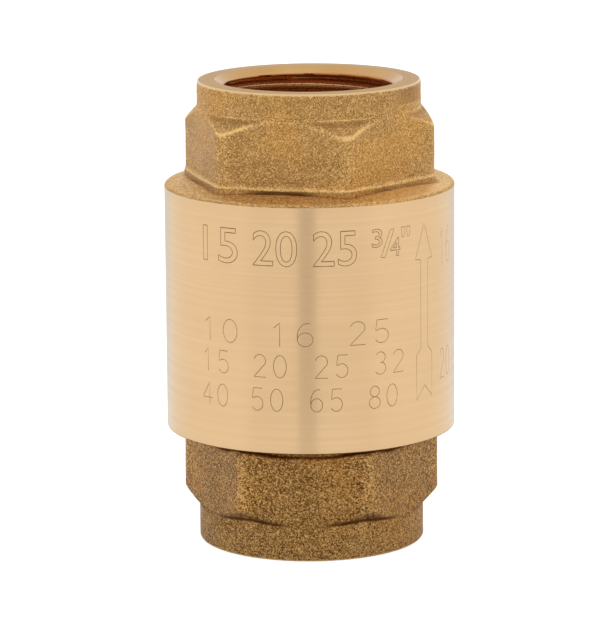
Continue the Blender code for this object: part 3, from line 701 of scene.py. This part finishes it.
def engraved_band():
    """The band's turned skin with its grooves cut in, open at both ends."""
    solid = spun(section((BAND, BAND_HIGH, TURNED), (BAND, BAND_LOW, TURNED),
                         (BAND_INSIDE, BAND_LOW, TURNED), (BAND_INSIDE, BAND_HIGH, TURNED)))
    grooves = placed("grooves", mesh_from(cutters(), "grooves"))
    plain = placed("band", mesh_from(solid, "band"))
    cut = plain.modifiers.new("grooves", "BOOLEAN")
    cut.operation = "DIFFERENCE"
    cut.solver = "EXACT"
    cut.use_self = True
    cut.object = grooves
    shape = bmesh.new()
    shape.from_mesh(result_of(plain))
    bpy.data.objects.remove(grooves)
    # The ring's inside and its two level ends don't belong to the skin.
    hidden = []
    for face in shape.faces:
        face.smooth = True
        middle = face.calc_center_median()
        reach = middle.to_2d().length
        face.material_index = CUT if reach < BAND - CUT_DEPTH else TURNED
        inside = reach < between(BAND_INSIDE, BAND, 0.4)
        level = abs(face.normal.z) > 0.999
        at_end = min(abs(middle.z - BAND_LOW), abs(middle.z - BAND_HIGH)) < 1e-3
        if inside or (level and at_end):
            hidden.append(face)
    bmesh.ops.delete(shape, geom=hidden, context="FACES")
    return mesh_from(shape, "engraved band")


# ---------------------------------------------------------------- node trees

class Output:
    """A node's output that can stand in plain arithmetic."""

    def __init__(self, nodes, socket):
        self.nodes, self.socket = nodes, socket

    def __add__(self, other):
        return self.nodes.maths("ADD", self, other)

    def __sub__(self, other):
        return self.nodes.maths("SUBTRACT", self, other)

    def __rsub__(self, other):
        return self.nodes.maths("SUBTRACT", other, self)

    def __mul__(self, other):
        return self.nodes.maths("MULTIPLY", self, other)

    def __truediv__(self, other):
        return self.nodes.maths("DIVIDE", self, other)

    def __rtruediv__(self, other):
        return self.nodes.maths("DIVIDE", other, self)

    def __abs__(self):
        return self.nodes.maths("ABSOLUTE", self)

    __radd__ = __add__
    __rmul__ = __mul__


class Nodes:
    """A node tree that is made node by node."""

    def __init__(self, tree):
        self.tree = tree

    def add(self, kind, settings, values, result=0):
        node = self.tree.nodes.new(kind)
        for word, value in settings.items():
            setattr(node, word, value)
        for socket, value in values.items():
            self.feed(node.inputs[socket], value)
        return Output(self, node.outputs[result])

    def feed(self, socket, value):
        if isinstance(value, Output):
            self.tree.links.new(value.socket, socket)
        else:
            socket.default_value = value

    def maths(self, kind, *values):
        return self.add("ShaderNodeMath", {"operation": kind}, dict(enumerate(values)))

    def vector(self, kind, values, result="Vector"):
        return self.add("ShaderNodeVectorMath", {"operation": kind}, values, result)

    def part(self, vector, axis):
        return self.add("ShaderNodeSeparateXYZ", {}, {0: vector}, axis)

    def ramp(self, value, low, high, first=0.0, last=1.0):
        """Goes smoothly from first to last as the value goes from low to high."""
        return self.add("ShaderNodeMapRange", {"interpolation_type": "SMOOTHSTEP"},
                        {0: value, 1: low, 2: high, 3: first, 4: last})

    def blend(self, share, first, second):
        """A colour from the first at a share of 0 to the second at 1."""
        first, second = ((*colour, 1) if isinstance(colour, tuple) else colour for colour in (first, second))
        return self.add("ShaderNodeMix", {"data_type": "RGBA"}, {0: share, 6: first, 7: second}, 2)

    def ray(self, kind):
        return self.add("ShaderNodeLightPath", {}, {}, kind)


# The reach at which drawn-out grain keeps its width, and how far it slants.
GRAIN_REACH, GRAIN_SLANT = 17.5, 0.4


class Finish(Nodes):
    """A material on a piece's own coordinates, in metres. Sizes of noise are in waves to the metre."""

    def __init__(self, name):
        self.material = bpy.data.materials.new(name)
        self.material.use_nodes = True
        super().__init__(self.material.node_tree)
        self.shader = self.tree.nodes["Principled BSDF"]
        self.place = self.add("ShaderNodeTexCoord", {}, {}, "Object")

    def set(self, **values):
        for name, value in values.items():
            self.feed(self.shader.inputs[name.replace("_", " ")], value)

    def noise(self, scale, detail=2.0, roughness=0.5, where=None):
        values = {"Vector": where or self.place, "Scale": scale, "Detail": detail, "Roughness": roughness}
        return self.add("ShaderNodeTexNoise", {}, values)

    def bump(self, height, rise, strength):
        """A relief that rises by so many millimetres."""
        values = {"Height": height, "Distance": rise * MM, "Strength": strength}
        return self.add("ShaderNodeBump", {}, values)

    # The rows' painted light and shade, with some rubbed wear on the chamfers' edges.
    def wear(self):
        return self.add("ShaderNodeAttribute", {"attribute_name": "wear"}, {}, "Fac")

    def height(self):
        return self.part(self.place, "Z")

    def outward(self):
        """The way from the axis to a point, level."""
        return self.vector("MULTIPLY", {0: self.place, 1: (1, 1, 0)})

    def reach(self):
        return self.vector("LENGTH", {0: self.outward()}, "Value")

    def rings(self, stretch):
        """Coordinates that don't change round the axis, for tool marks. A low stretch makes them taller."""
        return self.add("ShaderNodeCombineXYZ", {}, {0: self.reach(), 2: self.height() * stretch})

    def drawn_out(self):
        """Coordinates in which grain on a ledge is drawn out towards the axis, as by blasting at a slant."""
        way = self.vector("NORMALIZE", {0: self.outward()})
        around = self.vector("SCALE", {0: way, "Scale": GRAIN_REACH * MM})
        rise = self.add("ShaderNodeCombineXYZ", {}, {2: self.height() - self.reach() * GRAIN_SLANT})
        return self.vector("ADD", {0: around, 1: rise})


# ---------------------------------------------------------------- finishes

# The colour of the painted shade in creases and under overhangs.
SHADE_BROWN = (0.11, 0.042, 0.009)


def forged_brass(name, light, dark, pit, rubbed, golden, grit, grain):
    """Blasted forged brass: sparkling grain, dark pits and golden patches, with painted highlights on edges,
    partly rubbed wear, and painted shade in creases.
    """
    finish = Finish(name)
    wear = finish.wear()
    drawn = finish.drawn_out()
    clouds = finish.noise(190, 2, 0.6)
    patches = finish.noise(95, 1, 0.4)
    coarse = finish.noise(1900, 2, 0.6, drawn)
    fine = finish.noise(6300, 2, 0.7, drawn)
    crystals = finish.add("ShaderNodeTexVoronoi", {}, {"Vector": drawn, "Scale": grain}, "Color")
    chance = finish.add("ShaderNodeSeparateColor", {}, {0: crystals})
    mottle = fine * 0.84 + coarse * 0.16
    colour = finish.blend(finish.ramp(clouds, 0.35, 0.65), dark, light)
    colour = finish.blend(finish.ramp(patches, 0.48, 0.66) * 0.7, colour, golden)
    colour = finish.blend(finish.ramp(mottle, 0.36, 0.50, 1.0, 0.0) * (0.55 * grit), colour, pit)
    colour = finish.blend(finish.ramp(mottle, 0.49, 0.64) * (0.42 * grit), colour, rubbed)
    colour = finish.blend(finish.ramp(chance, 0.06, 0.38, 1.0, 0.0) * (0.64 * grit), colour, pit)
    colour = finish.blend(finish.ramp(chance, 0.66, 0.98) * (0.62 * grit), colour, rubbed)
    # A painted highlight on edges and painted shade in creases and recesses, from the rows' painted light.
    edge_highlight = finish.ramp(wear + mottle * 1.6 + chance * 0.7, 1.00, 2.15)
    crease_shade = finish.ramp(wear * -1.0 + mottle * 0.4, 0.30, 1.10)
    colour = finish.blend(edge_highlight * 0.85, colour, tuple(min(1.0, part * 1.15) for part in rubbed))
    colour = finish.blend(crease_shade * 0.9, colour, SHADE_BROWN)
    finish.set(Base_Color=colour, Metallic=1.0, Roughness=finish.ramp(fine, 0.3, 0.7, 0.44, 0.58),
               Normal=finish.bump(mottle * 0.7 + chance * 0.3, 0.12, 0.9))
    return finish.material


def turned_metal(name, light, dark, rough=0.20, slant=(1, 1, 1)):
    """Metal off the lathe: fine rings of tool marks and faint clouds. Slant tints the gloss at a slant."""
    finish = Finish(name)
    rings = finish.rings(0.6)
    lines = finish.noise(9000, 2, 0.6, rings)
    wide = finish.noise(2400, 2, 0.5, rings)
    clouds = finish.noise(90, 2, 0.5)
    colour = finish.blend(finish.ramp(clouds, 0.3, 0.7), dark, light)
    colour = finish.blend(finish.ramp(wide, 0.36, 0.62) * 0.45, colour, tuple(part * 0.91 for part in light))
    roughness = finish.ramp(wide * 0.5 + lines * 0.5, 0.34, 0.66, rough - 0.02, rough + 0.09)
    finish.set(Base_Color=colour, Metallic=1.0, Specular_Tint=(*slant, 1), Roughness=roughness,
               Normal=finish.bump(lines * 0.6 + wide * 0.4, 0.004, 0.5))
    return finish.material


def threaded_brass(name, root_shade, crest, bright, stain):
    """Thread flanks: a painted highlight on the crests and painted reddish-brown shade in the roots, with a
    few stains.
    """
    finish = Finish(name)
    wear = finish.wear()
    clouds = finish.noise(160, 2, 0.5)
    fine = finish.noise(2600, 2, 0.6)
    colour = finish.blend(finish.ramp(wear + fine * 0.1, -0.9, 0.75), root_shade, crest)
    colour = finish.blend(finish.ramp(wear, 0.75, 1.0) * 0.8, colour, bright)
    colour = finish.blend(finish.ramp(clouds, 0.4, 0.7) * 0.3, colour, stain)
    finish.set(Base_Color=colour, Metallic=1.0, Roughness=finish.ramp(fine, 0.3, 0.7, 0.24, 0.34),
               Normal=finish.bump(fine, 0.006, 0.5))
    return finish.material


def drawn_wire(name, light, dark):
    """Wire with fine lines drawn round its coils and a few darker clouds of oil."""
    finish = Finish(name)
    lines = finish.noise(16000, 2, 0.6, finish.rings(0.2))
    clouds = finish.noise(420, 3, 0.6)
    finish.set(Base_Color=finish.blend(finish.ramp(clouds, 0.35, 0.65), dark, light), Metallic=1.0,
               Roughness=finish.ramp(lines, 0.3, 0.7, 0.24, 0.38), Normal=finish.bump(lines, 0.004, 0.5))
    return finish.material


def nitrile(name, dark, dusty):
    """Moulded rubber with a matt, slightly dusty skin."""
    finish = Finish(name)
    dust = finish.noise(700, 4, 0.65)
    pores = finish.noise(6000, 2, 0.6)
    finish.set(Base_Color=finish.blend(finish.ramp(dust, 0.45, 0.7), dark, dusty),
               Roughness=finish.ramp(pores + dust * 0.5, 0.5, 1.0, 0.48, 0.68),
               Normal=finish.bump(pores * 0.6 + dust * 0.4, 0.01, 0.6))
    return finish.material


BODY_FORGED = forged_brass("forged brass of the body", light=(0.48, 0.262, 0.088),
                           dark=(0.40, 0.208, 0.062), pit=(0.145, 0.062, 0.014), rubbed=(0.86, 0.57, 0.235),
                           golden=(0.57, 0.285, 0.060), grit=0.76, grain=7600)
# The connector's brass is painted darker than the body's, as shade under the band; its heavier pits are
# grain.
CONNECTOR_FORGED_SHADED = forged_brass("forged brass of the connector", light=(0.335, 0.164, 0.048),
                                dark=(0.26, 0.118, 0.030), pit=(0.060, 0.021, 0.005),
                                rubbed=(0.74, 0.45, 0.165), golden=(0.42, 0.185, 0.038),
                                grit=1.2, grain=6400)
TURNED_BRASS = turned_metal("turned brass", (0.775, 0.524, 0.29), (0.745, 0.50, 0.27), rough=0.15,
                            slant=(0.92, 0.97, 1.0))
CONED_BRASS = turned_metal("coned brass", (0.64, 0.385, 0.165), (0.56, 0.32, 0.125))
FACED_BRASS = turned_metal("faced brass", (0.55, 0.355, 0.19), (0.50, 0.315, 0.165), rough=0.24,
                           slant=(0.81, 0.70, 0.52))
THREADED_BRASS = threaded_brass("threaded brass", root_shade=(0.50, 0.200, 0.062), crest=(0.80, 0.52, 0.25),
                                bright=(0.92, 0.66, 0.38), stain=(0.52, 0.25, 0.08))
ENGRAVED_BRASS = turned_metal("engraved brass", (0.50, 0.33, 0.185), (0.44, 0.285, 0.155), rough=0.4)
INNER_BRASS = turned_metal("turned brass inside", (0.70, 0.47, 0.235), (0.63, 0.415, 0.20))
STAINLESS = turned_metal("bright stainless steel", (0.63, 0.62, 0.60), (0.57, 0.56, 0.545))
SPRING_STEEL = drawn_wire("drawn spring steel", (0.50, 0.50, 0.51), (0.40, 0.40, 0.415))
RUBBER = nitrile("black nitrile", (0.022, 0.022, 0.023), (0.036, 0.036, 0.036))
BRASSES = (TURNED_BRASS, THREADED_BRASS, FACED_BRASS, CONED_BRASS)
NODE_FINISHES = {"valve_spring": SPRING_STEEL, "spring_washer": STAINLESS, "stem_nut": STAINLESS,
                 "body_o_ring": RUBBER, "poppet_seal": RUBBER}


# ---------------------------------------------------------------- the valve

def make_body():
    shape = spun(body_rows())
    shape.from_mesh(engraved_band())
    bmesh.ops.remove_doubles(shape, verts=shape.verts, dist=BAND_MERGE)
    finished(shape, "valve_body_brass", (BODY_FORGED, *BRASSES, ENGRAVED_BRASS), "valve_body")


def make_connector():
    finished(spun(connector_rows()), "end_connector_brass", (CONNECTOR_FORGED_SHADED, *BRASSES), "end_connector")


def make_spring():
    """A coil in place of the spring's CAD node. The real spring is held at the guide, and keeps 0.5614 of its
    length as the poppet lifts by 6 mm.
    """
    spring = finished(spring_coil(), "spring_coil", (SPRING_STEEL,), "valve_spring", 50)
    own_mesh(spring)


def dress_nodes():
    """Gives the CAD's own solids their finishes."""
    for name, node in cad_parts.items():
        for slot in node.material_slots:
            slot.material = NODE_FINISHES.get(name, INNER_BRASS)


# ---------------------------------------------------------------- studio

# Half the floor's side in metres, and how far it lies under the valve in millimetres.
FLOOR_HALF, FLOOR_GAP = 2.0, 0.05
# The camera's place in metres, its turn up from looking straight down, and its lean.
EYE = (0, -0.5511, 0.14536)
EYE_TILT, EYE_ROLL = 78.464, -0.41
LENS, SENSOR = 225.73, 36


def tent():
    """A white tent: white to the eye and to gloss, and as a light a little darker towards the floor."""
    world = bpy.data.worlds.new("tent")
    bpy.context.scene.world = world
    world.use_nodes = True
    cloth = Nodes(world.node_tree)
    up = cloth.part(cloth.add("ShaderNodeTexCoord", {}, {}, "Generated"), "Z")
    seen = cloth.maths("MAXIMUM", cloth.ray("Is Camera Ray"), cloth.ray("Is Glossy Ray"))
    seen = cloth.maths("MAXIMUM", seen, cloth.ray("Is Transmission Ray"))
    light = cloth.ramp(up, 0.0, 0.55, 0.66, 1.08) + cloth.ramp(up, 0.5, 1.0, 0.0, 0.15)
    cloth.feed(world.node_tree.nodes["Background"].inputs["Color"], seen + (1.0 - seen) * light)


def paper():
    """A pale floor that takes the valve's shadow. In the valve's reflections it carries painted shade: it is
    darker close by, a little in front and straight behind, and it has a narrow painted dark strip in front,
    where the camera stands."""
    finish = Finish("pale floor")
    away = finish.vector("LENGTH", {0: finish.place}, "Value")
    x, y = finish.part(finish.place, "X"), finish.part(finish.place, "Y")
    aside = (x + away * 0.04) / (away + 0.001)
    front = y / (away + 0.001) * -1.0
    # A painted dark strip in front, where the camera stands, seen only in reflections.
    strip = finish.ramp(abs(aside), 0.07, 0.15, 1.0, 0.0) * finish.ramp(y, 0.0, -0.05)
    strip = strip * finish.ramp(away, 0.04, 0.25, 0.16, 0.30)
    # Painted shade for reflections: darker close to the valve, a little in front and straight behind.
    near = finish.ramp(away, 0.012, 0.06, 0.55, 1.05)
    near = near - finish.ramp(front, 0.60, 0.76) * 0.06 - finish.ramp(front, -0.97, -0.70, 0.20, 0.0)
    seen = finish.ray("Is Camera Ray")
    light = seen * 0.75 + (1.0 - seen) * near * (1.0 - strip)
    glow = finish.add("ShaderNodeEmission", {}, {"Color": light})
    finish.set(Base_Color=(0.5, 0.5, 0.5, 1), Roughness=1.0, Specular_IOR_Level=0.0)
    shadowed = finish.add("ShaderNodeAddShader", {}, {0: Output(finish, finish.shader.outputs[0]), 1: glow})
    both = finish.add("ShaderNodeMixShader", {}, {0: seen, 1: glow, 2: shadowed})
    finish.feed(finish.tree.nodes["Material Output"].inputs["Surface"], both)
    return finish.material


def floor():
    shape = bmesh.new()
    bmesh.ops.create_grid(shape, x_segments=1, y_segments=1, size=FLOOR_HALF)
    bmesh.ops.translate(shape, verts=shape.verts, vec=(0, 0, -FLOOR_GAP * MM))
    sheet = placed("floor", mesh_from(shape, "floor"))
    sheet.data.materials.append(paper())


def camera():
    """A long lens in front of the valve, looking down a little."""
    data = bpy.data.cameras.new("camera")
    data.lens = LENS
    data.sensor_width = SENSOR
    data.shift_x = -0.0061
    data.clip_start, data.clip_end = 0.01, 20
    eye = placed("camera", data)
    tilt = Matrix.Rotation(math.radians(EYE_TILT), 4, "X")
    roll = Matrix.Rotation(math.radians(EYE_ROLL), 4, "Z")
    eye.matrix_world = Matrix.Translation(EYE) @ tilt @ roll
    bpy.context.scene.camera = eye


make_body()
make_connector()
make_spring()
dress_nodes()
tent()
floor()
camera()
bpy.context.scene.view_settings.view_transform = "Standard"
